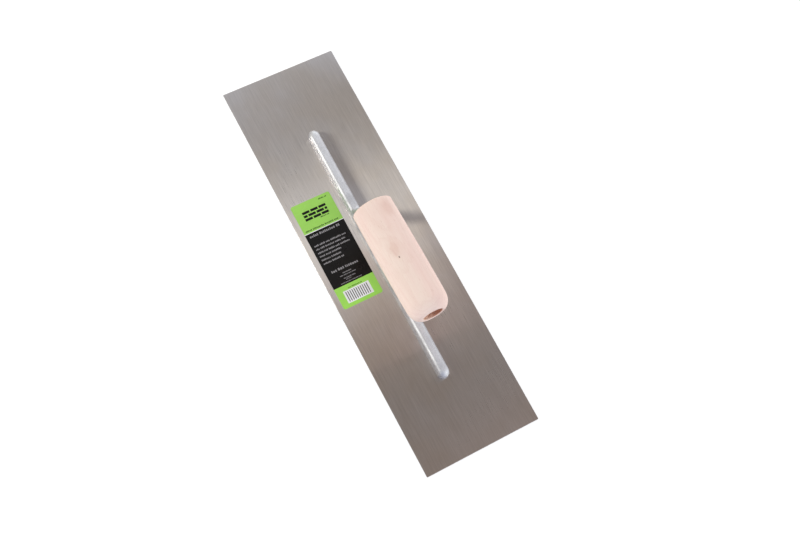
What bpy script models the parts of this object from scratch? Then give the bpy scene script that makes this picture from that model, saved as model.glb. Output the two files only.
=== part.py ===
"""Finishing trowel: a thin steel blade riveted to a cast aluminium shank, with a turned wooden handle.

Metres, +Z up. The origin is the centre of the blade's underside, +X runs along the blade towards its toe,
and the handle rises slightly towards the heel at -X.
"""

import math

import bmesh
import bpy
from mathutils import Matrix

MM = 0.001
GAP = 0.3 * MM  # clear space round a piece that sits in, or lies on, another

BLADE_LENGTH = 405 * MM
BLADE_WIDTH = 115 * MM
BLADE_THICKNESS = 0.8 * MM

BAR_LENGTH = 264.6 * MM
BAR_FOOT_WIDTH = 11.6 * MM
BAR_TOP_WIDTH = 10.6 * MM
BAR_TOP_Z = 10.3 * MM
NOSE_SLOPE_Z = 6.6 * MM  # height where each nose starts to lean inwards
NOSE_SLOPE_RUN = 3 * MM
BAR_SHOULDER = 2.4 * MM

RIVET_COUNT = 9
RIVET_PITCH = 29 * MM
RIVET_SHANK_RADIUS = 2 * MM
RIVET_HEAD_RADIUS = 3.2 * MM
RIVET_FOOT_Z = 0.05 * MM
RIVET_TOP_Z = 6.8 * MM

# The riser's sections, foot to head: height, centre along X, half depth along X, half width along Y, in mm.
RISER_SECTIONS = (
    (7.5, 37.0, 9.0, 4.5),
    (10.6, 37.0, 8.4, 4.4),
    (12.0, 36.9, 6.9, 4.3),
    (15.0, 36.4, 5.8, 4.3),
    (22.0, 34.7, 5.2, 4.3),
    (32.0, 32.0, 4.9, 4.4),
    (42.0, 29.2, 4.3, 4.7),
    (50.0, 27.6, 3.7, 5.4),
    (57.0, 26.8, 2.7, 6.2),
    (63.0, 26.5, 2.1, 5.6),
)
RISER_CORNER = 0.55  # share of a section's half width that its rounded corners take

HANDLE_FRONT_X = 23.8 * MM
HANDLE_FRONT_Z = 61.0 * MM
HANDLE_PITCH = math.radians(2.9)
HANDLE_FRONT_RADIUS = 18.8 * MM
HANDLE_BELLY_RADIUS = 19.2 * MM
HANDLE_HEEL_RADIUS = 19 * MM
HANDLE_EDGE = 1.7 * MM
HANDLE_BELLY_AT = 62 * MM
DOME_START = 98.6 * MM
DOME_LENGTH = 13 * MM
MOUTH_RADIUS = 9 * MM
MOUTH_LIP = 1.3 * MM
COUNTERBORE_DEPTH = 24 * MM

SEAT_RADIUS = 8.4 * MM
SEAT_THICKNESS = 2.6 * MM
SEAT_EDGE = 1.5 * MM
SPIGOT_RADIUS = 6 * MM
SPIGOT_LENGTH = 22 * MM

ROD_RADIUS = 3 * MM
ROD_START = 2.3 * MM
ROD_CHAMFER = 0.6 * MM
ROD_PAST_NUT = 2.2 * MM
WASHER_RADIUS = 8 * MM
WASHER_THICKNESS = 1.6 * MM
NUT_FLATS = 10 * MM
NUT_HEIGHT = 5 * MM

LABEL_LENGTH = 109 * MM
LABEL_WIDTH = 40 * MM
LABEL_CENTRE = (18.8 * MM, 32 * MM)
LABEL_THICKNESS = 0.2 * MM

ROUND_SIDES = 48
SMALL_SIDES = 24
ARC_STEPS = 6
SMOOTH_BELOW = math.radians(32)

HANDLE_LENGTH = DOME_START + DOME_LENGTH
WASHER_SEAT = HANDLE_LENGTH - COUNTERBORE_DEPTH
WASHER_AT = WASHER_SEAT + GAP
NUT_AT = WASHER_AT + WASHER_THICKNESS + GAP
ROD_END = NUT_AT + NUT_HEIGHT + ROD_PAST_NUT
BAR_FOOT_Z = BLADE_THICKNESS + GAP
# Local +Z of a turned piece becomes the handle's axis, running from the front face to the heel.
ALONG_HANDLE = Matrix.Rotation(math.radians(-90), 4, "Y")


def clear_scene():
    for old in list(bpy.data.objects):
        bpy.data.objects.remove(old, do_unlink=True)


def finish(name, colour, roughness, metallic):
    material = bpy.data.materials.new(name)
    material.use_nodes = True
    shader = material.node_tree.nodes["Principled BSDF"]
    shader.inputs["Base Color"].default_value = (*colour, 1)
    shader.inputs["Roughness"].default_value = roughness
    shader.inputs["Metallic"].default_value = metallic
    return material


def brushed_steel():
    return finish("brushed_steel", (0.5, 0.48, 0.47), 0.35, 1)


def bright_steel():
    return finish("bright_steel", (0.62, 0.62, 0.63), 0.3, 1)


def cast_aluminium():
    return finish("cast_aluminium", (0.72, 0.72, 0.74), 0.42, 1)


def raw_wood():
    return finish("raw_wood", (0.82, 0.66, 0.53), 0.6, 0)


def printed_label():
    return finish("printed_label", (0.32, 0.6, 0.12), 0.35, 0)


def place(name, mesh_maker, material, parent=None, location=(0, 0, 0)):
    """Makes one named object from a bmesh, smooth on its round faces."""
    mesh = bpy.data.meshes.new(name)
    bmesh.ops.recalc_face_normals(mesh_maker, faces=mesh_maker.faces)
    mesh_maker.to_mesh(mesh)
    mesh_maker.free()
    mesh.materials.append(material)
    mesh.shade_smooth()
    mesh.set_sharp_from_angle(angle=SMOOTH_BELOW)
    piece = bpy.data.objects.new(name, mesh)
    piece.location = location
    piece.parent = parent
    bpy.context.scene.collection.objects.link(piece)
    return piece


def as_guide(piece):
    """Marks a body that only cuts or joins another."""
    piece.hide_render = True
    piece.display_type = "WIRE"
    return piece


def combine(piece, other, operation):
    step = piece.modifiers.new(operation.lower() + "_" + other.name, "BOOLEAN")
    step.operation = operation
    step.solver = "EXACT"
    step.object = other


def arc(centre_r, centre_z, radius_r, radius_z, start, end, steps=ARC_STEPS):
    """Points (radius, height) of an elliptical arc, from start to end in degrees."""
    turns = [math.radians(start + (end - start) * i / steps) for i in range(steps + 1)]
    return [(centre_r + radius_r * math.cos(t), centre_z + radius_z * math.sin(t)) for t in turns]


def turned(profile, sides, ring=False):
    """Spins (radius, height) points about local Z. A ring's profile closes on itself."""
    made = bmesh.new()
    points = [made.verts.new((r, 0, z)) for r, z in profile]
    pairs = list(zip(points, points[1:]))
    if ring:
        pairs.append((points[-1], points[0]))
    edges = [made.edges.new(pair) for pair in pairs]
    bmesh.ops.spin(
        made,
        geom=points + edges,
        cent=(0, 0, 0),
        axis=(0, 0, 1),
        angle=math.tau,
        steps=sides,
        use_merge=True,
    )
    bmesh.ops.remove_doubles(made, verts=made.verts, dist=0.001 * MM)
    return made


def raised(body, face, first):
    """Extrudes a body's top face and returns the new one. Only the first face stays, as the body's foot."""
    grown = bmesh.ops.extrude_face_region(body, geom=[face])["geom"]
    if not first:
        bmesh.ops.delete(body, geom=[face], context="FACES_ONLY")
    return next(g for g in grown if isinstance(g, bmesh.types.BMFace))


def handle_frame():
    """An empty on the handle's front face, its X along the handle's axis."""
    frame = bpy.data.objects.new("handle_frame", None)
    frame.location = (HANDLE_FRONT_X, 0, HANDLE_FRONT_Z)
    frame.rotation_euler = (0, HANDLE_PITCH, 0)
    bpy.context.scene.collection.objects.link(frame)
    return frame


def rivet_places():
    first = -RIVET_PITCH * (RIVET_COUNT - 1) / 2
    return [first + RIVET_PITCH * i for i in range(RIVET_COUNT)]


def rivet_row(name, profile, material):
    """One guide that holds the same turned shape at each rivet's place."""
    row = bmesh.new()
    for x in rivet_places():
        one = turned(profile, SMALL_SIDES)
        one.transform(Matrix.Translation((x, 0, 0)))
        carrier = bpy.data.meshes.new("one_rivet_hole")
        one.to_mesh(carrier)
        one.free()
        row.from_mesh(carrier)
    return as_guide(place(name, row, material))


def blade(material):
    sheet = bmesh.new()
    bmesh.ops.create_cube(sheet, size=1)
    sheet.transform(Matrix.Diagonal((BLADE_LENGTH, BLADE_WIDTH, BLADE_THICKNESS, 1)))
    sheet.transform(Matrix.Translation((0, 0, BLADE_THICKNESS / 2)))
    piece = place("blade", sheet, material)
    wide = RIVET_HEAD_RADIUS + GAP
    narrow = RIVET_SHANK_RADIUS + GAP
    past = MM
    holes = [(0, -past), (wide, -past), (wide, 0), (narrow, BLADE_THICKNESS)]
    holes += [(narrow, BLADE_THICKNESS + past), (0, BLADE_THICKNESS + past)]
    combine(piece, rivet_row("countersinks", holes, material), "DIFFERENCE")
    return piece


def rivets(material):
    """Solid rivets with countersunk heads, ground flush with the blade's underside."""
    profile = [(0, RIVET_FOOT_Z), (RIVET_HEAD_RADIUS, RIVET_FOOT_Z)]
    profile += [(RIVET_SHANK_RADIUS, BLADE_THICKNESS), (RIVET_SHANK_RADIUS, RIVET_TOP_Z), (0, RIVET_TOP_Z)]
    for number, x in enumerate(rivet_places(), 1):
        place(f"rivet_{number}", turned(profile, SMALL_SIDES), material, location=(x, 0, 0))


def bar_body():
    """The low bar: a long outline with round ends, drafted sides, sloping noses and rounded shoulders."""
    body = bmesh.new()
    half = BAR_FOOT_WIDTH / 2
    reach = BAR_LENGTH / 2 - half
    front = arc(reach, 0, half, half, -90, 90, 2 * ARC_STEPS)
    back = arc(-reach, 0, half, half, 90, 270, 2 * ARC_STEPS)
    loop = [body.verts.new((x, y, BAR_FOOT_Z)) for x, y in front + back]
    face = body.faces.new(loop)
    draft = BAR_TOP_WIDTH / BAR_FOOT_WIDTH
    steps = (
        (NOSE_SLOPE_Z - BAR_FOOT_Z, 1, (1 + draft) / 2),
        (BAR_TOP_Z - NOSE_SLOPE_Z, 1 - 2 * NOSE_SLOPE_RUN / BAR_LENGTH, 2 * draft / (1 + draft)),
    )
    for number, (rise, along, across) in enumerate(steps):
        face = raised(body, face, number == 0)
        bmesh.ops.scale(body, vec=(along, across, 1), verts=face.verts)
        bmesh.ops.translate(body, vec=(0, 0, rise), verts=face.verts)
    bmesh.ops.bevel(
        body,
        geom=list(face.edges),
        offset=BAR_SHOULDER,
        segments=4,
        profile=0.5,
        affect="EDGES",
        clamp_overlap=True,
    )
    return body


def riser_body():
    """The post that leans back from the bar to the handle's front, drawn up through its sections."""
    body = bmesh.new()
    corner_steps = 3
    height, centre, depth, width = RISER_SECTIONS[0]
    corner = RISER_CORNER * width
    outline = []
    for quarter, (sx, sy) in enumerate(((1, 1), (-1, 1), (-1, -1), (1, -1))):
        start = 90 * quarter
        middle = (sx * (depth - corner), sy * (width - corner))
        outline += arc(*middle, corner, corner, start, start + 90, corner_steps)
    loop = [body.verts.new(((centre + x) * MM, y * MM, height * MM)) for x, y in outline]
    face = body.faces.new(loop)
    for below, above in zip(RISER_SECTIONS, RISER_SECTIONS[1:]):
        face = raised(body, face, below is RISER_SECTIONS[0])
        to_centre = Matrix.Translation((-below[1] * MM, 0, 0))
        growth = (above[2] / below[2], above[3] / below[3], 1)
        bmesh.ops.scale(body, vec=growth, verts=face.verts, space=to_centre)
        move = ((above[1] - below[1]) * MM, 0, (above[0] - below[0]) * MM)
        bmesh.ops.translate(body, vec=move, verts=face.verts)
    return body


def seat_body():
    """The round seat against the handle's front face, with the spigot that enters the handle."""
    front = -GAP - SEAT_THICKNESS
    profile = [(0, front)]
    profile += arc(SEAT_RADIUS - SEAT_EDGE, front + SEAT_EDGE, SEAT_EDGE, SEAT_EDGE, -90, 0)
    profile += [(SEAT_RADIUS, -GAP), (SPIGOT_RADIUS, -GAP)]
    profile += [(SPIGOT_RADIUS, SPIGOT_LENGTH), (0, SPIGOT_LENGTH)]
    body = turned(profile, ROUND_SIDES)
    body.transform(ALONG_HANDLE)
    return body


def shank(material, frame):
    """One casting: bar, riser, seat and spigot, drilled for the rivets and the rod."""
    piece = place("shank", bar_body(), material)
    riser = as_guide(place("riser_guide", riser_body(), material))
    seat = as_guide(place("seat_guide", seat_body(), material, frame))
    combine(piece, riser, "UNION")
    combine(piece, seat, "UNION")
    hole = RIVET_SHANK_RADIUS + GAP
    drill = [(0, 0), (hole, 0), (hole, RIVET_TOP_Z + GAP), (0, RIVET_TOP_Z + GAP)]
    combine(piece, rivet_row("rivet_drills", drill, material), "DIFFERENCE")
    bore = ROD_RADIUS + GAP
    past = SPIGOT_LENGTH + MM
    tap = turned([(0, ROD_START - GAP), (bore, ROD_START - GAP), (bore, past), (0, past)], SMALL_SIDES)
    tap.transform(ALONG_HANDLE)
    combine(piece, as_guide(place("rod_drill", tap, material, frame)), "DIFFERENCE")
    return piece


def handle(material, frame):
    """Turned wood, bored through for the rod, wider at the front for the spigot and at the heel for the nut."""
    outer = arc(HANDLE_FRONT_RADIUS - HANDLE_EDGE, HANDLE_EDGE, HANDLE_EDGE, HANDLE_EDGE, -90, 0)
    outer += [(HANDLE_BELLY_RADIUS, HANDLE_BELLY_AT)]
    lip_r = MOUTH_RADIUS + MOUTH_LIP
    dome_steps = 2 * ARC_STEPS
    outer += arc(lip_r, DOME_START, HANDLE_HEEL_RADIUS - lip_r, DOME_LENGTH, 0, 90, dome_steps)
    lip = arc(lip_r, HANDLE_LENGTH - MOUTH_LIP, MOUTH_LIP, MOUTH_LIP, 90, 180)[1:]
    through = ROD_RADIUS + GAP
    socket = SPIGOT_RADIUS + GAP
    socket_end = SPIGOT_LENGTH + GAP
    inner = [(MOUTH_RADIUS, WASHER_SEAT), (through, WASHER_SEAT), (through, socket_end)]
    inner += [(socket, socket_end), (socket, 0)]
    wood = turned(outer + lip + inner, ROUND_SIDES, ring=True)
    wood.transform(ALONG_HANDLE)
    return place("handle", wood, material, frame)


def rod(material, frame):
    tip = ROD_RADIUS - ROD_CHAMFER
    profile = [(0, ROD_START), (tip, ROD_START), (ROD_RADIUS, ROD_START + ROD_CHAMFER)]
    profile += [(ROD_RADIUS, ROD_END - ROD_CHAMFER), (tip, ROD_END), (0, ROD_END)]
    bar = turned(profile, SMALL_SIDES)
    bar.transform(ALONG_HANDLE)
    return place("tie_rod", bar, material, frame)


def washer(material, frame):
    inner = ROD_RADIUS + GAP
    outer_at = WASHER_AT + WASHER_THICKNESS
    profile = [(inner, WASHER_AT), (WASHER_RADIUS, WASHER_AT), (WASHER_RADIUS, outer_at), (inner, outer_at)]
    disc = turned(profile, ROUND_SIDES, ring=True)
    disc.transform(ALONG_HANDLE)
    return place("washer", disc, material, frame)


def nut(material, frame):
    """A hexagon between a drilled centre and corners turned off at both faces."""
    corner = NUT_FLATS / math.sqrt(3)
    chamfer = 0.5 * MM
    blank = bmesh.new()
    bmesh.ops.create_cone(
        blank, cap_ends=True, segments=6, radius1=corner, radius2=corner, depth=NUT_HEIGHT
    )
    blank.transform(Matrix.Translation((0, 0, NUT_AT + NUT_HEIGHT / 2)))
    blank.transform(ALONG_HANDLE)
    piece = place("nut", blank, material, frame)
    end = NUT_AT + NUT_HEIGHT
    bore = ROD_RADIUS + GAP
    past = MM
    keep = [(bore, NUT_AT - past), (NUT_FLATS / 2, NUT_AT - past), (NUT_FLATS / 2, NUT_AT)]
    keep += [(corner + chamfer, NUT_AT + 2 * chamfer), (corner + chamfer, end - 2 * chamfer)]
    keep += [(NUT_FLATS / 2, end), (NUT_FLATS / 2, end + past), (bore, end + past)]
    shell = turned(keep, ROUND_SIDES, ring=True)
    shell.transform(ALONG_HANDLE)
    combine(piece, as_guide(place("nut_turning", shell, material, frame)), "INTERSECT")
    return piece


def label(material):
    """A thin printed sticker on the blade beside the handle."""
    sticker = bmesh.new()
    bmesh.ops.create_cube(sticker, size=1)
    sticker.transform(Matrix.Diagonal((LABEL_LENGTH, LABEL_WIDTH, LABEL_THICKNESS, 1)))
    centre_z = BLADE_THICKNESS + GAP + LABEL_THICKNESS / 2
    return place("label", sticker, material, location=(*LABEL_CENTRE, centre_z))


def build():
    clear_scene()
    steel = brushed_steel()
    bright = bright_steel()
    frame = handle_frame()
    blade(steel)
    rivets(bright)
    shank(cast_aluminium(), frame)
    rod(bright, frame)
    handle(raw_wood(), frame)
    washer(bright, frame)
    nut(bright, frame)
    label(printed_label())


build()
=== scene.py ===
import math
import random

import bmesh
import bpy
from mathutils import Matrix, Vector


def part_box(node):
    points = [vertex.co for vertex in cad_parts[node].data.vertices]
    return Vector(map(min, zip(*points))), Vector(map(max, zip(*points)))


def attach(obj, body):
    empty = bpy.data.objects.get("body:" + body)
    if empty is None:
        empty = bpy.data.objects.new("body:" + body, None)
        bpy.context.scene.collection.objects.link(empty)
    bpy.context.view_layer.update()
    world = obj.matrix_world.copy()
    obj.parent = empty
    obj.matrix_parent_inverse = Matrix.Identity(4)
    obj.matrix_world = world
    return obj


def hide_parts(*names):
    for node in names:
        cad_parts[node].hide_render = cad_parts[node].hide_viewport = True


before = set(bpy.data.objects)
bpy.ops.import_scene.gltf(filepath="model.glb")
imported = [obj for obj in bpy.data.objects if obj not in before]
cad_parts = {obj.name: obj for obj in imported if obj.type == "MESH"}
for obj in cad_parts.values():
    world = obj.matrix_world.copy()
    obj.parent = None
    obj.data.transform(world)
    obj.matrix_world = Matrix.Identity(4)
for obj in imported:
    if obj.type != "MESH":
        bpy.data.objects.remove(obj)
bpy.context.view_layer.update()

mm = 0.001
body = "root"
scene = bpy.context.scene


# Small helpers that every piece below uses.

def paint(red, green, blue):
    def linear(value):
        share = value / 255
        return share / 12.92 if share <= 0.04045 else ((share + 0.055) / 1.055) ** 2.4
    return (linear(red), linear(green), linear(blue), 1)


def startMaterial(name, **values):
    material = bpy.data.materials.new(name)
    material.use_nodes = True
    tree = material.node_tree
    shader = tree.nodes["Principled BSDF"]
    for socket, value in values.items():
        shader.inputs[socket.replace("_", " ")].default_value = value
    return material, tree, shader


def addNode(tree, kind, inputs, **settings):
    made = tree.nodes.new("ShaderNode" + kind)
    for name, value in settings.items():
        setattr(made, name, value)
    for socket, value in inputs.items():
        if isinstance(value, bpy.types.NodeSocket):
            tree.links.new(value, made.inputs[socket])
        else:
            made.inputs[socket].default_value = value
    return made


def objectPlace(tree):
    return addNode(tree, "TexCoord", {}).outputs["Object"]


def stretched(tree, place, scale):
    return addNode(tree, "Mapping", {"Vector": place, "Scale": scale}).outputs["Vector"]


def noise(tree, place, scale=1.0, detail=3.0, roughness=0.55, distortion=0.0):
    inputs = {
        "Vector": place,
        "Scale": scale,
        "Detail": detail,
        "Roughness": roughness,
        "Distortion": distortion,
    }
    return addNode(tree, "TexNoise", inputs).outputs[0]


def calc(tree, operation, first, second=0.0):
    return addNode(tree, "Math", {0: first, 1: second}, operation=operation).outputs[0]


def calcVector(tree, operation, first, second):
    return addNode(tree, "VectorMath", {0: first, 1: second}, operation=operation)


def fade(tree, value, start, end, low=0.0, high=1.0):
    inputs = {"Value": value, "From Min": start, "From Max": end, "To Min": low, "To Max": high}
    return addNode(tree, "MapRange", inputs, interpolation_type="SMOOTHSTEP").outputs["Result"]


def mixColour(tree, share, first, second, how="MIX"):
    return addNode(tree, "Mix", {0: share, 6: first, 7: second}, data_type="RGBA", blend_type=how).outputs[2]


def addBump(tree, height, distance, strength=1.0, under=None):
    inputs = {"Height": height, "Distance": distance, "Strength": strength}
    if under is not None:
        inputs["Normal"] = under
    return addNode(tree, "Bump", inputs).outputs["Normal"]


def distanceFrom(tree, place, centre, scale):
    away = calcVector(tree, "SUBTRACT", place, centre).outputs["Vector"]
    scaled = calcVector(tree, "MULTIPLY", away, scale).outputs["Vector"]
    return addNode(tree, "VectorMath", {0: scaled}, operation="LENGTH").outputs["Value"]


def centreOf(node):
    low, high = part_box(node)
    return (low + high) / 2


def asObject(name, shape, *materials):
    mesh = bpy.data.meshes.new(name)
    shape.to_mesh(mesh)
    shape.free()
    for material in materials:
        mesh.materials.append(material)
    piece = bpy.data.objects.new(name, mesh)
    scene.collection.objects.link(piece)
    return piece


def settle(piece):
    graph = bpy.context.evaluated_depsgraph_get()
    made = bpy.data.meshes.new_from_object(piece.evaluated_get(graph))
    old = piece.data
    piece.modifiers.clear()
    piece.data = made
    bpy.data.meshes.remove(old)


def combine(piece, tool, operation):
    step = piece.modifiers.new(operation.lower(), "BOOLEAN")
    step.operation = operation
    step.solver = "MANIFOLD"
    step.object = tool
    settle(piece)
    spare = tool.data
    bpy.data.objects.remove(tool)
    bpy.data.meshes.remove(spare)


def finishPiece(piece, nodes=(), sharpAbove=40):
    piece.data.shade_smooth()
    piece.data.set_sharp_from_angle(angle=math.radians(sharpAbove))
    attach(piece, body)
    if nodes:
        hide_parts(*nodes)
    print(piece.name, len(piece.data.polygons), "faces")


def arc(centreR, centreZ, radiusR, radiusZ, start, end, steps):
    turns = [math.radians(start + (end - start) * i / steps) for i in range(steps + 1)]
    return [(centreR + radiusR * math.cos(t), centreZ + radiusZ * math.sin(t)) for t in turns]


def turned(profile, sides, ring=False):
    made = bmesh.new()
    points = [made.verts.new((r * mm, 0, z * mm)) for r, z in profile]
    pairs = list(zip(points, points[1:]))
    if ring:
        pairs.append((points[-1], points[0]))
    edges = [made.edges.new(pair) for pair in pairs]
    around = {"cent": (0, 0, 0), "axis": (0, 0, 1), "angle": math.tau, "steps": sides, "use_merge": True}
    bmesh.ops.spin(made, geom=points + edges, **around)
    bmesh.ops.remove_doubles(made, verts=made.verts, dist=0.002 * mm)
    bmesh.ops.recalc_face_normals(made, faces=made.faces)
    return made


def boxShape(low, high):
    made = bmesh.new()
    bmesh.ops.create_cube(made, size=1)
    bmesh.ops.scale(made, vec=high - low, verts=made.verts)
    bmesh.ops.translate(made, vec=(low + high) / 2, verts=made.verts)
    return made


def layBrushUv(mesh, name="brushing"):
    # U runs across the brush lines, so the shader's tangent does too
    layer = mesh.uv_layers.new(name=name)
    for loop in mesh.loops:
        x, y, z = mesh.vertices[loop.vertex_index].co
        layer.uv[loop.index].vector = (y + z, x + 0.3 * z)


# Steel blade: a thin sheet, brushed along its length.

bladeSettings = {
    "corner": 0.7,  # mm, the radius of the four corners
    "edge": 0.14,  # mm, the broken edge all round
    "holeFit": 0.03,  # mm, the clear space round a rivet
    "colour": paint(200, 195, 194),
    "warmColour": paint(192, 183, 176),
    "roughness": 0.3,
    "anisotropy": 1.0,
    "fineLines": (60.0, 2600.0, 300.0),  # lines per metre along X, across Y, through Z
    "wideLines": (26.0, 950.0, 100.0),
    "strayLines": (30.0, 800.0, 50.0),
}

rivetSettings = {
    "headRadius": 3.2,
    "shankRadius": 2.0,
    "top": 6.8,
    "rim": 0.06,
    "sides": 40,
}


def brushedSteel(name, settings, tone=1.0, scratches=True):
    material, tree, shader = startMaterial(
        name,
        Metallic=1,
        Roughness=settings["roughness"],
        Anisotropic=settings["anisotropy"],
    )
    place = objectPlace(tree)
    fine = noise(tree, stretched(tree, place, settings["fineLines"]), detail=5, roughness=0.62)
    wide = noise(tree, stretched(tree, place, settings["wideLines"]), detail=3)
    cloud = noise(tree, place, 9, detail=4, roughness=0.6)
    lines = calc(tree, "ADD", calc(tree, "MULTIPLY", fine, 0.6), calc(tree, "MULTIPLY", wide, 0.4))
    colour = mixColour(tree, fade(tree, cloud, 0.35, 0.7), settings["colour"], settings["warmColour"])
    shade = fade(tree, lines, 0.28, 0.72, 0.88 * tone, 1.1 * tone)
    grey = addNode(tree, "CombineColor", {0: shade, 1: shade, 2: shade}).outputs[0]
    colour = mixColour(tree, 1.0, colour, grey, "MULTIPLY")
    rough = fade(tree, cloud, 0.3, 0.75, settings["roughness"] - 0.015, settings["roughness"] + 0.025)
    rough = calc(tree, "ADD", rough, fade(tree, fine, 0.3, 0.7, -0.02, 0.02))
    tree.links.new(colour, shader.inputs["Base Color"])
    tree.links.new(rough, shader.inputs["Roughness"])
    normal = addBump(tree, lines, 0.015 * mm, 0.5)
    if scratches:
        inputs = {"Vector": place, "Rotation": (0, 0, 0.21), "Scale": settings["strayLines"]}
        askew = addNode(tree, "Mapping", inputs).outputs["Vector"]
        marks = fade(tree, noise(tree, askew, detail=2, distortion=0.4), 0.78, 0.86, 0, -1)
        normal = addBump(tree, marks, 0.003 * mm, 0.4, normal)
    tree.links.new(normal, shader.inputs["Normal"])
    tangent = addNode(tree, "Tangent", {}, direction_type="UV_MAP", uv_map="brushing")
    tree.links.new(tangent.outputs[0], shader.inputs["Tangent"])
    return material


def rivetNodes():
    return sorted(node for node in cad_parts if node.startswith("rivet_"))


def makeBlade():
    low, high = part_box("blade")
    thickness = (high.z - low.z) / mm
    sheet = boxShape(low, high)
    upright = [e for e in sheet.edges if abs(e.verts[0].co.z - e.verts[1].co.z) > 0.1 * mm]
    bevel = {"affect": "EDGES", "profile": 0.5, "material": -1}
    bmesh.ops.bevel(sheet, geom=upright, offset=bladeSettings["corner"] * mm, segments=5, **bevel)
    rims = [e for e in sheet.edges if abs(e.verts[0].co.z - e.verts[1].co.z) < 0.01 * mm]
    bmesh.ops.bevel(sheet, geom=rims, offset=bladeSettings["edge"] * mm, segments=2, **bevel)
    piece = asObject("blade_sheet", sheet, brushedSteel("brushedSteel", bladeSettings))
    fit = bladeSettings["holeFit"]
    wide = rivetSettings["headRadius"] + fit
    narrow = rivetSettings["shankRadius"] + fit
    above = thickness + 1
    profile = [(0, -1), (wide, -1), (wide, 0), (narrow, thickness), (narrow, above), (0, above)]
    for node in rivetNodes():
        drill = turned(profile, rivetSettings["sides"])
        bmesh.ops.translate(drill, vec=(centreOf(node).x, 0, 0), verts=drill.verts)
        combine(piece, asObject("drill", drill), "DIFFERENCE")
    layBrushUv(piece.data)
    finishPiece(piece, ["blade"], 15)


def makeRivets():
    low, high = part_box("blade")
    rim = rivetSettings["rim"]
    head = rivetSettings["headRadius"]
    narrow = rivetSettings["shankRadius"]
    steel = brushedSteel("groundRivet", bladeSettings, tone=1.12, scratches=False)
    profile = [(0, 0.005), (head - 2.5 * rim, 0.005), (head - rim, rim / 2), (head - rim, rim)]
    profile += [(narrow, (high.z - low.z) / mm), (narrow, rivetSettings["top"] - 0.4)]
    profile += [(narrow - 0.4, rivetSettings["top"]), (0, rivetSettings["top"])]
    for node in rivetNodes():
        rivet = turned(profile, rivetSettings["sides"])
        bmesh.ops.translate(rivet, vec=(centreOf(node).x, 0, 0), verts=rivet.verts)
        piece = asObject("flush_" + node, rivet, steel)
        layBrushUv(piece.data)
        finishPiece(piece, [node], 30)


# Cast aluminium shank: bar, riser, seat and spigot in one casting.

shankSettings = {
    "footWidth": 11.6,
    "topWidth": 9.0,
    "top": 10.3,
    "noseFrom": 6.6,  # height where each nose starts to lean in
    "noseRun": 3.0,
    "shoulder": 2.8,
    "footGap": 0.02,  # above the blade
    "riser": (  # height, centre along X, half depth along X, half width along Y
        (7.5, 37.0, 8.2, 4.2),
        (10.6, 37.0, 7.4, 4.1),
        (12.0, 36.9, 6.5, 4.1),
        (15.0, 36.4, 5.8, 4.2),
        (22.0, 34.7, 5.2, 4.3),
        (32.0, 32.0, 4.9, 4.4),
        (42.0, 29.2, 4.3, 4.7),
        (50.0, 27.6, 3.7, 5.4),
        (57.0, 26.8, 2.7, 6.2),
        (63.0, 26.5, 2.1, 5.6),
    ),
    "riserCorner": 0.55,
    "voxel": 0.42,
    "softening": 6,
    "seatRadius": 8.4,
    "seatThickness": 2.6,
    "seatEdge": 1.5,
    "spigotRadius": 6.0,
    "spigotLength": 22.0,
    "clear": 0.1,  # round each rivet and the rod
    "colour": paint(228, 228, 232),
    "darkColour": paint(204, 204, 208),
    "pitColour": paint(150, 148, 148),
    "speckleColour": paint(184, 183, 186),
    "roughness": 0.56,
}


def castAluminium():
    settings = shankSettings
    material, tree, shader = startMaterial("castAluminium", Metallic=1, Roughness=settings["roughness"])
    place = objectPlace(tree)
    grain = noise(tree, place, 2600, detail=4, roughness=0.65)
    pits = noise(tree, place, 900, detail=2)
    cloud = noise(tree, place, 60, detail=4, roughness=0.6)
    polish = noise(tree, stretched(tree, place, (60.0, 1900.0, 1900.0)), detail=3)
    colour = mixColour(tree, fade(tree, cloud, 0.35, 0.75), settings["colour"], settings["darkColour"])
    colour = mixColour(tree, fade(tree, pits, 0.66, 0.78, 0, 0.35), colour, settings["pitColour"])
    speckle = noise(tree, place, 1100, detail=4, roughness=0.7)
    colour = mixColour(tree, fade(tree, speckle, 0.4, 0.7, 0, 0.5), colour, settings["speckleColour"])
    rough = fade(tree, cloud, 0.3, 0.8, settings["roughness"] - 0.04, settings["roughness"] + 0.1)
    rough = calc(tree, "ADD", rough, fade(tree, grain, 0.3, 0.7, -0.04, 0.05))
    tree.links.new(colour, shader.inputs["Base Color"])
    tree.links.new(rough, shader.inputs["Roughness"])
    normal = addBump(tree, cloud, 0.35 * mm, 0.25)
    normal = addBump(tree, grain, 0.03 * mm, 0.55, normal)
    normal = addBump(tree, polish, 0.012 * mm, 0.5, normal)
    normal = addBump(tree, fade(tree, pits, 0.66, 0.8, 0, -1), 0.06 * mm, 0.5, normal)
    tree.links.new(normal, shader.inputs["Normal"])
    return material


def raised(shape, face, first):
    grown = bmesh.ops.extrude_face_region(shape, geom=[face])["geom"]
    if not first:
        bmesh.ops.delete(shape, geom=[face], context="FACES_ONLY")
    return next(g for g in grown if isinstance(g, bmesh.types.BMFace))


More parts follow.
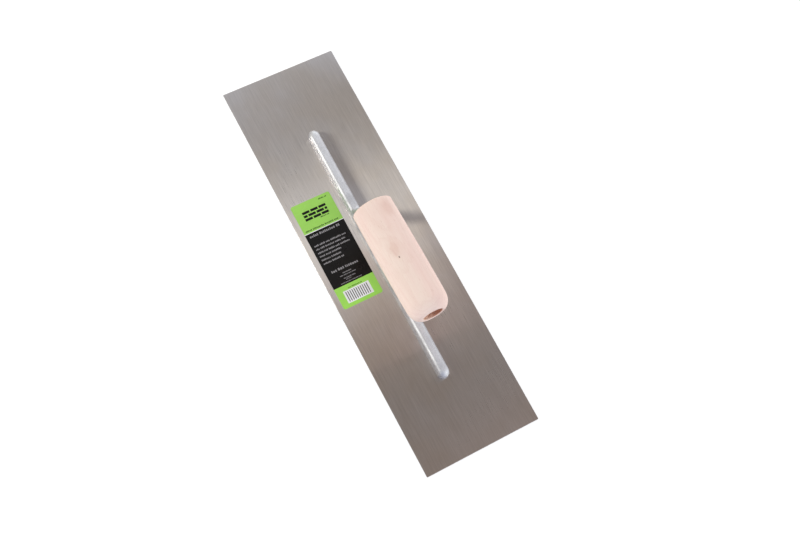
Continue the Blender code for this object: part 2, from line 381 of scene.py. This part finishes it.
def barShape():
    settings = shankSettings
    low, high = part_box("shank")
    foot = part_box("blade")[1].z / mm + settings["footGap"]
    half = settings["footWidth"] / 2
    length = (high.x - low.x) / mm
    shape = bmesh.new()
    bmesh.ops.create_circle(shape, cap_ends=True, segments=64, radius=half * mm)
    for side in (-1, 1):
        end = [v for v in shape.verts if v.co.x * side > 0.01 * mm]
        bmesh.ops.translate(shape, vec=(side * (length / 2 - half) * mm, 0, 0), verts=end)
    bmesh.ops.translate(shape, vec=((low.x + high.x) / 2, 0, foot * mm), verts=shape.verts)
    draft = settings["topWidth"] / settings["footWidth"]
    lean = 1 - 2 * settings["noseRun"] / length
    steps = (
        (settings["noseFrom"] - foot, 1, (1 + draft) / 2),
        (settings["top"] - settings["noseFrom"], lean, 2 * draft / (1 + draft)),
    )
    face = shape.faces[:][0]
    for number, (rise, along, across) in enumerate(steps):
        face = raised(shape, face, number == 0)
        bmesh.ops.scale(shape, vec=(along, across, 1), verts=face.verts)
        bmesh.ops.translate(shape, vec=(0, 0, rise * mm), verts=face.verts)
    rim = list(face.edges)
    bevel = {"affect": "EDGES", "profile": 0.5, "material": -1, "clamp_overlap": True}
    bmesh.ops.bevel(shape, geom=rim, offset=settings["shoulder"] * mm, segments=6, **bevel)
    bmesh.ops.recalc_face_normals(shape, faces=shape.faces)
    return shape


def curveBetween(a, b, c, d, t):
    return 0.5 * (2 * b + (c - a) * t + (2 * a - 5 * b + 4 * c - d) * t**2 + (3 * b - a - 3 * c + d) * t**3)


def riserSections():
    marks = [Vector(mark) for mark in shankSettings["riser"]]
    marks = [marks[0], *marks, marks[-1]]
    steps = 4
    made = [
        curveBetween(*marks[i : i + 4], step / steps)
        for i in range(len(marks) - 3)
        for step in range(steps)
    ]
    return made + [marks[-1]]


def riserShape():
    sections = riserSections()
    height, centre, depth, width = sections[0]
    corner = shankSettings["riserCorner"] * width
    shape = bmesh.new()
    outline = []
    for quarter, (sx, sy) in enumerate(((1, 1), (-1, 1), (-1, -1), (1, -1))):
        middle = (sx * (depth - corner), sy * (width - corner))
        outline += arc(*middle, corner, corner, 90 * quarter, 90 * quarter + 90, 8)
    loop = [shape.verts.new(((centre + x) * mm, y * mm, height * mm)) for x, y in outline]
    face = shape.faces.new(loop)
    for below, above in zip(sections, sections[1:]):
        face = raised(shape, face, below is sections[0])
        toCentre = Matrix.Translation((-below[1] * mm, 0, 0))
        growth = (above[2] / below[2], above[3] / below[3], 1)
        bmesh.ops.scale(shape, vec=growth, verts=face.verts, space=toCentre)
        move = ((above[1] - below[1]) * mm, 0, (above[0] - below[0]) * mm)
        bmesh.ops.translate(shape, vec=move, verts=face.verts)
    bmesh.ops.recalc_face_normals(shape, faces=shape.faces)
    return shape


def seatShape():
    settings = shankSettings
    gap = 0.05
    front = -gap - settings["seatThickness"]
    edge = settings["seatEdge"]
    profile = [(0, front)]
    profile += arc(settings["seatRadius"] - edge, front + edge, edge, edge, -90, 0, 8)
    profile += [(settings["seatRadius"], -gap), (settings["spigotRadius"], -gap)]
    profile += [(settings["spigotRadius"], settings["spigotLength"]), (0, settings["spigotLength"])]
    shape = turned(profile, 96)
    shape.transform(handleAxis)
    return shape


def drillShape(radius, start, end, place):
    drill = turned([(0, start), (radius, start), (radius, end), (0, end)], 32)
    drill.transform(place)
    return drill


def makeShank():
    settings = shankSettings
    casting = barShape()
    for part in (riserShape(), seatShape()):
        carrier = bpy.data.meshes.new("carrier")
        part.to_mesh(carrier)
        part.free()
        casting.from_mesh(carrier)
        bpy.data.meshes.remove(carrier)
    piece = asObject("cast_shank", casting, castAluminium())
    melt = piece.modifiers.new("melt", "REMESH")
    melt.mode = "VOXEL"
    melt.voxel_size = settings["voxel"] * mm
    soften = piece.modifiers.new("soften", "SMOOTH")
    soften.factor = 0.5
    soften.iterations = settings["softening"]
    settle(piece)
    clear = settings["clear"]
    for node in rivetNodes():
        place = Matrix.Translation((centreOf(node).x, 0, 0))
        drill = drillShape(rivetSettings["shankRadius"] + clear, -1, rivetSettings["top"] + clear, place)
        combine(piece, asObject("drill", drill), "DIFFERENCE")
    start, end = rodSettings["start"] - clear, settings["spigotLength"] + 1
    bore = drillShape(rodSettings["radius"] + clear, start, end, handleAxis)
    combine(piece, asObject("bore", bore), "DIFFERENCE")
    finishPiece(piece, ["shank"], 50)


# Turned wooden handle, bored through for the rod.

handleSettings = {
    "nutMiddle": 92.3,  # mm from the front face to the nut's middle
    "frontRadius": 18.8,
    "frontEdge": 1.7,
    "bellyRadius": 19.2,
    "bellyAt": 62.0,
    "heelRadius": 19.0,
    "domeStart": 98.6,
    "domeLength": 13.0,
    "mouthRadius": 9.0,
    "mouthLip": 1.3,
    "counterbore": 24.0,
    "boreRadius": 3.3,
    "socketRadius": 6.1,
    "socketEnd": 22.3,
    "sides": 144,
    "pale": paint(246, 225, 212),
    # the pinker tone: the wood's random patches, and painted shade on the -Y side
    "pink": paint(242, 211, 201),
    "latewood": paint(226, 188, 174),
    "pore": paint(206, 166, 144),
    "knot": paint(212, 160, 142),
    "pinKnot": paint(112, 78, 60),
    "bore": paint(252, 218, 194),
    # the darker bore colour: painted shade on the bore's -Y side, and the colour of its torn fibres
    "boreTornAndShade": paint(200, 138, 110),
}

rodSettings = {
    "radius": 3.0,
    "start": 2.3,
    "end": 97.0,
    "chamfer": 0.6,
    "threadFrom": 84.0,
    "pitch": 1.0,
    "depth": 0.55,
}


def findHandleAxis():
    heelward = (centreOf("nut") - centreOf("tie_rod")).normalized()
    front = centreOf("nut") - heelward * handleSettings["nutMiddle"] * mm
    pitch = math.atan2(heelward.z, -heelward.x)
    turnedUp = Matrix.Translation(front) @ Matrix.Rotation(pitch, 4, "Y")
    return front, pitch, turnedUp @ Matrix.Rotation(math.radians(-90), 4, "Y")


handleFront, handlePitch, handleAxis = findHandleAxis()


def onSurface(along, degrees, radius=19.1):
    turn = math.radians(degrees)
    return (-along * mm, radius * math.sin(turn) * mm, radius * math.cos(turn) * mm)


def bareWood():
    settings = handleSettings
    material, tree, shader = startMaterial("bareWood", Roughness=0.62, Specular_IOR_Level=0.16)
    place = objectPlace(tree)
    inputs = {"Vector": place, "Location": handleFront, "Rotation": (0, handlePitch, 0)}
    place = addNode(tree, "Mapping", inputs, vector_type="TEXTURE").outputs["Vector"]
    knotPlace = onSurface(49.4, 17.7)
    wander = noise(tree, stretched(tree, place, (9.0, 42.0, 42.0)), detail=3)
    knotAway = distanceFrom(tree, place, knotPlace, (0.68, 1.0, 0.6))
    wobble = calc(tree, "ADD", wander, noise(tree, stretched(tree, place, (70.0, 150.0, 150.0)), detail=3))
    knotAway = calc(tree, "ADD", knotAway, fade(tree, wobble, 0.6, 1.4, -3 * mm, 3 * mm))
    pith = distanceFrom(tree, place, (-90 * mm, -9 * mm, -34 * mm), (0.16, 1.0, 1.0))
    swell = fade(tree, knotAway, 0.0, 17 * mm, 4 * mm, 0.0)
    rings = calc(tree, "ADD", pith, calc(tree, "MULTIPLY", wander, 9 * mm))
    rings = calc(tree, "SUBTRACT", rings, swell)
    rings = calc(tree, "FRACT", calc(tree, "DIVIDE", rings, 2.3 * mm))
    late = calc(tree, "MULTIPLY", fade(tree, rings, 0.35, 0.95), fade(tree, rings, 1.0, 0.93))
    fibre = noise(tree, stretched(tree, place, (38.0, 1500.0, 1500.0)), detail=4, roughness=0.6)
    fleck = noise(tree, stretched(tree, place, (210.0, 2400.0, 2400.0)), detail=2)
    patch = noise(tree, stretched(tree, place, (14.0, 55.0, 55.0)), detail=3)
    side = addNode(tree, "SeparateXYZ", {"Vector": place}).outputs
    # Painted shade: the wood turns pinker and darker toward the -Y side, away from the key light. The patch
    # noise added to it is the wood's own random pink tone.
    shadedSide = fade(tree, side["Y"], 14 * mm, -16 * mm, 0.1, 0.6)
    pinkToneAndShade = calc(tree, "ADD", shadedSide, fade(tree, patch, 0.3, 0.75, -0.1, 0.4))
    colour = mixColour(tree, pinkToneAndShade, settings["pale"], settings["pink"])
    blush = fade(tree, distanceFrom(tree, place, onSurface(12, -22), (0.7, 1, 1)), 2 * mm, 9 * mm, 0.5, 0)
    colour = mixColour(tree, blush, colour, settings["latewood"])
    colour = mixColour(tree, calc(tree, "MULTIPLY", late, 0.13), colour, settings["latewood"])
    colour = mixColour(tree, fade(tree, fibre, 0.45, 0.8, 0, 0.25), colour, settings["latewood"])
    colour = mixColour(tree, fade(tree, fleck, 0.62, 0.75, 0, 0.45), colour, settings["pore"])
    knotShare = fade(tree, knotAway, 0, 9 * mm, 0.32, 0)
    colour = mixColour(tree, knotShare, colour, settings["knot"])
    knotRing = calc(tree, "ABSOLUTE", calc(tree, "SUBTRACT", knotAway, 3.6 * mm))
    colour = mixColour(tree, fade(tree, knotRing, 0, 1.6 * mm, 0.08, 0), colour, settings["knot"])
    pinAway = distanceFrom(tree, place, onSurface(57.8, 18.0), (0.5, 1, 1))
    colour = mixColour(tree, fade(tree, pinAway, 0.25 * mm, 0.75 * mm, 0.85, 0), colour, settings["pinKnot"])
    across = calcVector(tree, "MULTIPLY", place, (0, 1, 1)).outputs["Vector"]
    radius = addNode(tree, "VectorMath", {0: across}, operation="LENGTH").outputs["Value"]
    inBore = fade(tree, radius, 9.7 * mm, 9.1 * mm)
    # Painted shade: the bore is painted darker toward its -Y side, in place of the shadow of the handle's
    # wall. The torn fibres below are real texture in the same darker colour.
    shadedSide = fade(tree, side["Y"], -7 * mm, 3 * mm)
    boreColour = mixColour(tree, shadedSide, settings["boreTornAndShade"], settings["bore"])
    torn = noise(tree, stretched(tree, place, (240.0, 760.0, 760.0)), detail=4, roughness=0.7)
    boreColour = mixColour(tree, fade(tree, torn, 0.42, 0.6, 0.7, 0), boreColour, settings["boreTornAndShade"])
    colour = mixColour(tree, inBore, colour, boreColour)
    tree.links.new(colour, shader.inputs["Base Color"])
    rough = calc(tree, "ADD", fade(tree, fibre, 0.3, 0.7, 0.52, 0.66), calc(tree, "MULTIPLY", inBore, 0.2))
    tree.links.new(rough, shader.inputs["Roughness"])
    lathe = noise(tree, stretched(tree, place, (1300.0, 12.0, 12.0)), detail=2)
    normal = addBump(tree, fibre, 0.05 * mm, 0.6)
    normal = addBump(tree, lathe, 0.02 * mm, 0.5, normal)
    normal = addBump(tree, fade(tree, fleck, 0.6, 0.76, 0, -1), 0.05 * mm, 0.6, normal)
    normal = addBump(tree, calc(tree, "MULTIPLY", torn, inBore), 0.9 * mm, 0.9, normal)
    tree.links.new(normal, shader.inputs["Normal"])
    return material


def makeHandle():
    settings = handleSettings
    edge = settings["frontEdge"]
    start = settings["domeStart"]
    length = start + settings["domeLength"]
    outer = arc(settings["frontRadius"] - edge, edge, edge, edge, -90, 0, 8)
    steps = 24
    for step in range(1, steps):
        along = edge + (start - edge) * step / steps
        if along < settings["bellyAt"]:
            share = (along - edge) / (settings["bellyAt"] - edge)
            low = settings["frontRadius"]
        else:
            share = (start - along) / (start - settings["bellyAt"])
            low = settings["heelRadius"]
        outer.append((low + (settings["bellyRadius"] - low) * math.sin(share * math.pi / 2), along))
    lipR = settings["mouthRadius"] + settings["mouthLip"]
    outer += arc(lipR, start, settings["heelRadius"] - lipR, settings["domeLength"], 0, 90, 20)
    lip = arc(lipR, length - settings["mouthLip"], settings["mouthLip"], settings["mouthLip"], 90, 180, 6)[1:]
    seat = length - settings["counterbore"]
    depth = length - settings["mouthLip"] - seat
    wall = [(settings["mouthRadius"], seat + depth * (1 - i / 12)) for i in range(1, 13)]
    inner = [(settings["boreRadius"], seat), (settings["boreRadius"], settings["socketEnd"])]
    inner += [(settings["socketRadius"], settings["socketEnd"]), (settings["socketRadius"], 0)]
    wood = turned(outer + lip + wall + inner, settings["sides"], ring=True)
    wood.transform(handleAxis)
    piece = asObject("wood_handle", wood, bareWood())
    finishPiece(piece, ["handle"], 40)


# Tie rod, washer and nut inside the handle's counterbore.

washerSettings = {"radius": 8.0, "hole": 3.2, "start": 87.9, "thickness": 1.6, "edge": 0.2}
nutSettings = {"flats": 10.0, "start": 89.8, "height": 5.0, "hole": 3.12, "chamfer": 0.5}


def platedSteel(name, colour, dullColour):
    material, tree, shader = startMaterial(name, Metallic=1, Roughness=0.32)
    place = objectPlace(tree)
    cloud = noise(tree, place, 260, detail=4, roughness=0.65)
    grain = noise(tree, place, 3200, detail=3)
    tint = mixColour(tree, fade(tree, cloud, 0.35, 0.75), colour, dullColour)
    tree.links.new(tint, shader.inputs["Base Color"])
    tree.links.new(fade(tree, cloud, 0.3, 0.75, 0.24, 0.46), shader.inputs["Roughness"])
    normal = addBump(tree, grain, 0.02 * mm, 0.5)
    normal = addBump(tree, cloud, 0.08 * mm, 0.25, normal)
    tree.links.new(normal, shader.inputs["Normal"])
    return material


def threadShape(start, end):
    settings = rodSettings
    pitch = settings["pitch"]
    turns = int((end - start) / pitch)
    perTurn = 32
    made = bmesh.new()
    inside = settings["radius"] - settings["depth"] - 0.1
    outside = settings["radius"]
    corners = [(inside, 0), (outside, 0.44 * pitch), (outside, 0.56 * pitch), (inside, pitch)]
    points = [made.verts.new((r * mm, 0, (start + z) * mm)) for r, z in corners]
    edges = [made.edges.new(pair) for pair in zip(points, points[1:] + points[:1])]
    bmesh.ops.spin(
        made,
        geom=points + edges,
        cent=(0, 0, 0),
        axis=(0, 0, 1),
        dvec=(0, 0, pitch * mm / perTurn),
        angle=math.tau * turns,
        steps=perTurn * turns,
    )
    bmesh.ops.holes_fill(made, edges=[e for e in made.edges if e.is_boundary], sides=4)
    bmesh.ops.recalc_face_normals(made, faces=made.faces)
    return made


def makeHardware():
    zinc = platedSteel("zincPlate", paint(206, 204, 200), paint(168, 156, 138))
    settings = rodSettings
    radius, start, end = settings["radius"], settings["start"], settings["end"]
    core, threadFrom = radius - settings["depth"], settings["threadFrom"]
    profile = [(0, start), (radius - settings["chamfer"], start)]
    profile += [(radius, start + settings["chamfer"]), (radius, threadFrom), (core, threadFrom + 0.5)]
    profile += [(core, end - 0.3), (core - 0.3, end), (0, end)]
    rod = turned(profile, 48)
    rod.transform(handleAxis)
    piece = asObject("threaded_rod", rod, zinc)
    thread = threadShape(threadFrom, end - 1.2)
    thread.transform(handleAxis)
    combine(piece, asObject("thread", thread), "UNION")
    finishPiece(piece, ["tie_rod"], 30)

    settings = washerSettings
    radius, hole, edge = settings["radius"], settings["hole"], settings["edge"]
    start, end = settings["start"], settings["start"] + settings["thickness"]
    profile = [(hole, start), (radius - edge, start), (radius, start + edge), (radius, end - edge)]
    profile += [(radius - edge, end), (hole + edge, end), (hole, end - edge)]
    disc = turned(profile, 72, ring=True)
    disc.transform(handleAxis)
    finishPiece(asObject("flat_washer", disc, zinc), ["washer"], 30)

    settings = nutSettings
    corner = settings["flats"] / math.sqrt(3)
    start, end = settings["start"], settings["start"] + settings["height"]
    flat, chamfer, hole = settings["flats"] / 2, settings["chamfer"], settings["hole"]
    blank = bmesh.new()
    height = settings["height"] * mm
    prism = {"segments": 6, "radius1": corner * mm, "radius2": corner * mm, "depth": height}
    bmesh.ops.create_cone(blank, cap_ends=True, **prism)
    bmesh.ops.translate(blank, vec=(0, 0, start * mm + height / 2), verts=blank.verts)
    blank.transform(handleAxis)
    piece = asObject("hex_nut", blank, zinc)
    face, outer = flat * 0.96, corner + chamfer
    keep = [(hole, start - 1), (face, start - 1), (face, start), (outer, start + 2 * chamfer)]
    keep += [(outer, end - 2 * chamfer), (face, end), (face, end + 1)]
    keep += [(hole + chamfer, end + 1), (hole + chamfer, end), (hole, end - chamfer)]
    turning = turned(keep, 72, ring=True)
    turning.transform(handleAxis)
    combine(piece, asObject("turning", turning), "INTERSECT")
    finishPiece(piece, ["nut"], 25)


# Printed label beside the handle. Sizes are mm down from its toe end and across from its outer edge.

labelSettings = {
    "film": 0.09,
    "ink": 0.012,
    "foot": 0.01,  # above the blade
    "corner": 2.0,
    "whiteRule": (29.7, 30.4),
    "black": (30.4, 88.1),
    "panel": (93.3, 105.4, 6.4, 32.5),
    "bars": 11,
    "green": paint(163, 219, 100),
    "lowGreen": paint(166, 229, 98),
    "blackInk": paint(13, 11, 10),
    "whiteInk": paint(244, 242, 244),
    "greyInk": paint(150, 147, 149),
    "darkGreen": paint(58, 96, 34),
}

# Each run of print: middle, height, start, end, ink. The print itself is only blocks the size of letters.
printRuns = (
    (3.1, 1.3, 27.6, 35.8, "darkGreen"),
    (19.9, 1.0, 21.5, 30.6, "blackInk"),
    (27.5, 1.6, 2.3, 35.8, "darkGreen"),
    (33.6, 2.3, 3.4, 34.7, "greyInk"),
    (43.5, 1.6, 3.1, 35.3, "greyInk"),
    (47.1, 1.6, 3.1, 32.8, "greyInk"),
    (50.9, 1.6, 3.1, 36.1, "greyInk"),
    (54.5, 1.6, 3.1, 25.1, "greyInk"),
    (58.4, 1.6, 3.1, 22.9, "greyInk"),
    (62.2, 1.6, 3.1, 23.7, "greyInk"),
    (72.4, 2.3, 5.8, 32.8, "greyInk"),
    (77.1, 0.9, 14.9, 23.4, "greyInk"),
    (79.3, 0.9, 11.1, 27.0, "greyInk"),
    (82.3, 0.9, 13.3, 25.4, "greyInk"),
    (83.9, 0.7, 14.9, 20.4, "greyInk"),
    (86.2, 0.9, 8.6, 29.8, "greyInk"),
    (91.8, 1.0, 12.7, 26.5, "darkGreen"),
)

brickSettings = {
    "top": 9.1,
    "left": 7.5,
    "length": 7.3,
    "height": 2.4,
    "joint": 1.1,
    "courses": 3,
    "width": 23.9,
}


def labelInk(name, colour, roughness=0.3):
    material, tree, shader = startMaterial(name, Roughness=roughness, Specular_IOR_Level=0.24)
    place = objectPlace(tree)
    cloud = noise(tree, place, 55, detail=4, roughness=0.6)
    dots = noise(tree, place, 4200, detail=1)
    worn = tuple(0.9 * part for part in colour[:3]) + (1,)
    tint = mixColour(tree, fade(tree, cloud, 0.3, 0.75), colour, worn)
    tint = mixColour(tree, fade(tree, dots, 0.35, 0.7, 0, 0.3), tint, worn)
    tree.links.new(tint, shader.inputs["Base Color"])
    rough = fade(tree, cloud, 0.3, 0.75, roughness - 0.06, roughness + 0.1)
    tree.links.new(rough, shader.inputs["Roughness"])
    wave = noise(tree, stretched(tree, place, (26.0, 40.0, 1.0)), detail=2)
    normal = addBump(tree, wave, 1.1 * mm, 0.5)
    normal = addBump(tree, dots, 0.006 * mm, 0.4, normal)
    tree.links.new(normal, shader.inputs["Normal"])
    return material


def makeLabel():
    settings = labelSettings
    low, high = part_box("label")
    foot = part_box("blade")[1].z + settings["foot"] * mm
    top = foot + settings["film"] * mm
    names = ["green", "lowGreen", "blackInk", "whiteInk", "greyInk", "darkGreen"]
    inks = [labelInk(name, settings[name]) for name in names]
    film = boxShape(Vector((low.x, low.y, foot)), Vector((high.x, high.y, top)))
    upright = [e for e in film.edges if abs(e.verts[0].co.z - e.verts[1].co.z) > 0.05 * mm]
    rounding = {"affect": "EDGES", "profile": 0.5, "material": -1, "segments": 8}
    bmesh.ops.bevel(film, geom=upright, offset=settings["corner"] * mm, **rounding)

    def cut(point, across):
        everything = film.verts[:] + film.edges[:] + film.faces[:]
        bmesh.ops.bisect_plane(film, geom=everything, plane_co=point, plane_no=across)

    panel = settings["panel"]
    for down in (*settings["whiteRule"], settings["black"][1], *panel[:2]):
        cut((high.x - down * mm, 0, 0), (1, 0, 0))
    for across in panel[2:]:
        cut((0, high.y - across * mm, 0), (0, 1, 0))
    for face in film.faces:
        middle = face.calc_center_median()
        down, across = (high.x - middle.x) / mm, (high.y - middle.y) / mm
        if down < settings["whiteRule"][0]:
            ink = "green"
        elif down < settings["whiteRule"][1]:
            ink = "whiteInk"
        elif down < settings["black"][1]:
            ink = "blackInk"
        else:
            ink = "lowGreen"
        if panel[0] < down < panel[1] and panel[2] < across < panel[3]:
            ink = "whiteInk"
        face.material_index = names.index(ink)
    finishPiece(asObject("label_film", film, *inks), ["label"], 30)

    raisedInk = bmesh.new()

    def block(down, height, across, width, ink):
        before = set(raisedInk.faces)
        bmesh.ops.create_cube(raisedInk, size=1)
        new = [face for face in raisedInk.faces if face not in before]
        verts = list({vert for face in new for vert in face.verts})
        bmesh.ops.scale(raisedInk, vec=(height * mm, width * mm, settings["ink"] * mm), verts=verts)
        level = top + settings["ink"] * mm * 0.55
        centre = (high.x - down * mm, high.y - (across + width / 2) * mm, level)
        bmesh.ops.translate(raisedInk, vec=centre, verts=verts)
        for face in new:
            face.material_index = names.index(ink)

    draw = random.Random(11)
    for middle, height, start, end, ink in printRuns:
        across, left = start, draw.randint(2, 8)
        while across < end - 0.3 * height:
            width = min(draw.uniform(0.42, 0.78) * height, end - across)
            tall = height * draw.choice((0.72, 0.86, 1.0))
            block(middle + (height - tall) / 2, tall, across, width, ink)
            left -= 1
            across += width + height * (0.24 if left else 0.7)
            left = left or draw.randint(3, 9)

    bricks = brickSettings
    for course in range(bricks["courses"]):
        across = -bricks["length"] / 2 * (course % 2)
        middle = bricks["top"] + bricks["height"] / 2 + course * (bricks["height"] + bricks["joint"])
        while across < bricks["width"]:
            left = max(across, 0)
            right = min(across + bricks["length"], bricks["width"])
            if right - left > 1:
                block(middle, bricks["height"], bricks["left"] + left, right - left, "blackInk")
            across += bricks["length"] + bricks["joint"]

    pitch = (panel[3] - panel[2] - 3) / settings["bars"]
    for number in range(settings["bars"]):
        across = panel[2] + 1.9 + number * pitch
        block((panel[0] + panel[1]) / 2, panel[1] - panel[0] - 2.4, across, pitch * 0.34, "blackInk")
    finishPiece(asObject("label_ink", raisedInk, *inks), sharpAbove=30)


# Camera, lights, surroundings and floor.

cameraSettings = {
    "target": (-21.3, -13.2, 0.8),
    "distance": 1129.0,
    "azimuth": 130.58,
    "tilt": 20.157,
    "roll": 22.28,
    "lens": 55.32,
}

lightSettings = {
    "from": (0.30, 0.80, 0.53),
    "distance": 1.7,
    "size": (0.22, 0.45),
    "power": 11.5,
    "colour": (1.0, 0.98, 0.88),
}

# A plain room of pale panels, warm gaps and grey walls, laid out by direction along X from heel to toe.
roomSettings = {
    "panel": (1.45, 1.5, 1.5),
    "strip": (0.95, 1.0, 1.1),
    "warmGap": (0.5, 0.37, 0.3),
    "slot": (0.2, 0.15, 0.1),
    "wall": (0.3, 0.3, 0.3),
    "coolWall": (0.45, 0.5, 0.7),
    "warmWall": (0.6, 0.55, 0.45),
    "backdrop": (1, 1, 1, 1),  # what shows behind the floor
}

bareSide = (
    (-0.5, "panel"),
    (-0.1, "strip"),
    (0.05, "warmGap"),
    (0.12, "wall"),
    (0.19, "warmGap"),
    (0.26, "strip"),
    (0.33, "slot"),
    (0.4, "strip"),
    (0.5, "panel"),
)
labelSide = ((-0.5, "coolWall"), (-0.1, "wall"), (0.5, "wall"), (1.0, "warmWall"))

floorSettings = {"size": 30.0, "below": 0.05, "colour": (0.6, 0.6, 0.6, 1), "glow": 0.55}


def makeCamera():
    settings = cameraSettings
    target = Vector(settings["target"]) * mm
    tilt, azimuth = math.radians(settings["tilt"]), math.radians(settings["azimuth"])
    back = Vector((math.sin(tilt) * math.cos(azimuth), math.sin(tilt) * math.sin(azimuth), math.cos(tilt)))
    lens = bpy.data.cameras.new("studioCamera")
    lens.lens = settings["lens"]
    lens.sensor_width = 36
    lens.clip_start = 0.05
    camera = bpy.data.objects.new("studioCamera", lens)
    scene.collection.objects.link(camera)
    look = (-back).to_track_quat("-Z", "Y").to_matrix().to_4x4()
    roll = Matrix.Rotation(math.radians(settings["roll"]), 4, "Z")
    camera.matrix_world = Matrix.Translation(target + back * settings["distance"] * mm) @ look @ roll
    scene.camera = camera


def blendAlong(tree, share, stops):
    blend = addNode(tree, "ValToRGB", {0: share})
    points = blend.color_ramp.elements
    points.remove(points[-1])
    for number, (where, tone) in enumerate(stops):
        point = points.new((where + 1) / 2) if number else points[0]
        point.position = (where + 1) / 2
        point.color = (*roomSettings[tone], 1)
    return blend.outputs[0]


def makeLights():
    settings = lightSettings
    lamp = bpy.data.lights.new("keyLight", "AREA")
    lamp.shape = "RECTANGLE"
    lamp.size, lamp.size_y = settings["size"]
    lamp.energy = settings["power"]
    lamp.color = settings["colour"]
    light = bpy.data.objects.new("keyLight", lamp)
    scene.collection.objects.link(light)
    way = Vector(settings["from"]).normalized()
    light.location = way * settings["distance"]
    light.rotation_euler = (-way).to_track_quat("-Z", "Y").to_euler()

    world = bpy.data.worlds.new("softRoom")
    world.use_nodes = True
    scene.world = world
    tree = world.node_tree
    way = addNode(tree, "TexCoord", {}).outputs["Generated"]
    x, y = addNode(tree, "SeparateXYZ", {"Vector": way}).outputs[:2]
    along = addNode(tree, "Math", {0: x, 1: 0.5, 2: 0.5}, operation="MULTIPLY_ADD").outputs[0]
    bare, label = blendAlong(tree, along, bareSide), blendAlong(tree, along, labelSide)
    light = mixColour(tree, fade(tree, y, -0.25, 0.25), bare, label)
    seen = addNode(tree, "LightPath", {}).outputs["Is Camera Ray"]
    light = mixColour(tree, seen, light, roomSettings["backdrop"])
    tree.links.new(light, tree.nodes["Background"].inputs["Color"])
    scene.view_settings.view_transform = "Standard"


def makeFloor():
    settings = floorSettings
    material, _, shader = startMaterial("paleFloor", Roughness=0.9, Specular_IOR_Level=0.1)
    shader.inputs["Base Color"].default_value = settings["colour"]
    shader.inputs["Emission Color"].default_value = (1, 1, 1, 1)
    shader.inputs["Emission Strength"].default_value = settings["glow"]
    ground = bmesh.new()
    bmesh.ops.create_grid(ground, x_segments=8, y_segments=8, size=settings["size"] / 2)
    bmesh.ops.translate(ground, vec=(0, 0, -settings["below"] * mm), verts=ground.verts)
    floor = asObject("pale_floor", ground, material)


makeBlade()
makeRivets()
makeShank()
makeHandle()
makeHardware()
makeLabel()
makeCamera()
makeLights()
makeFloor()
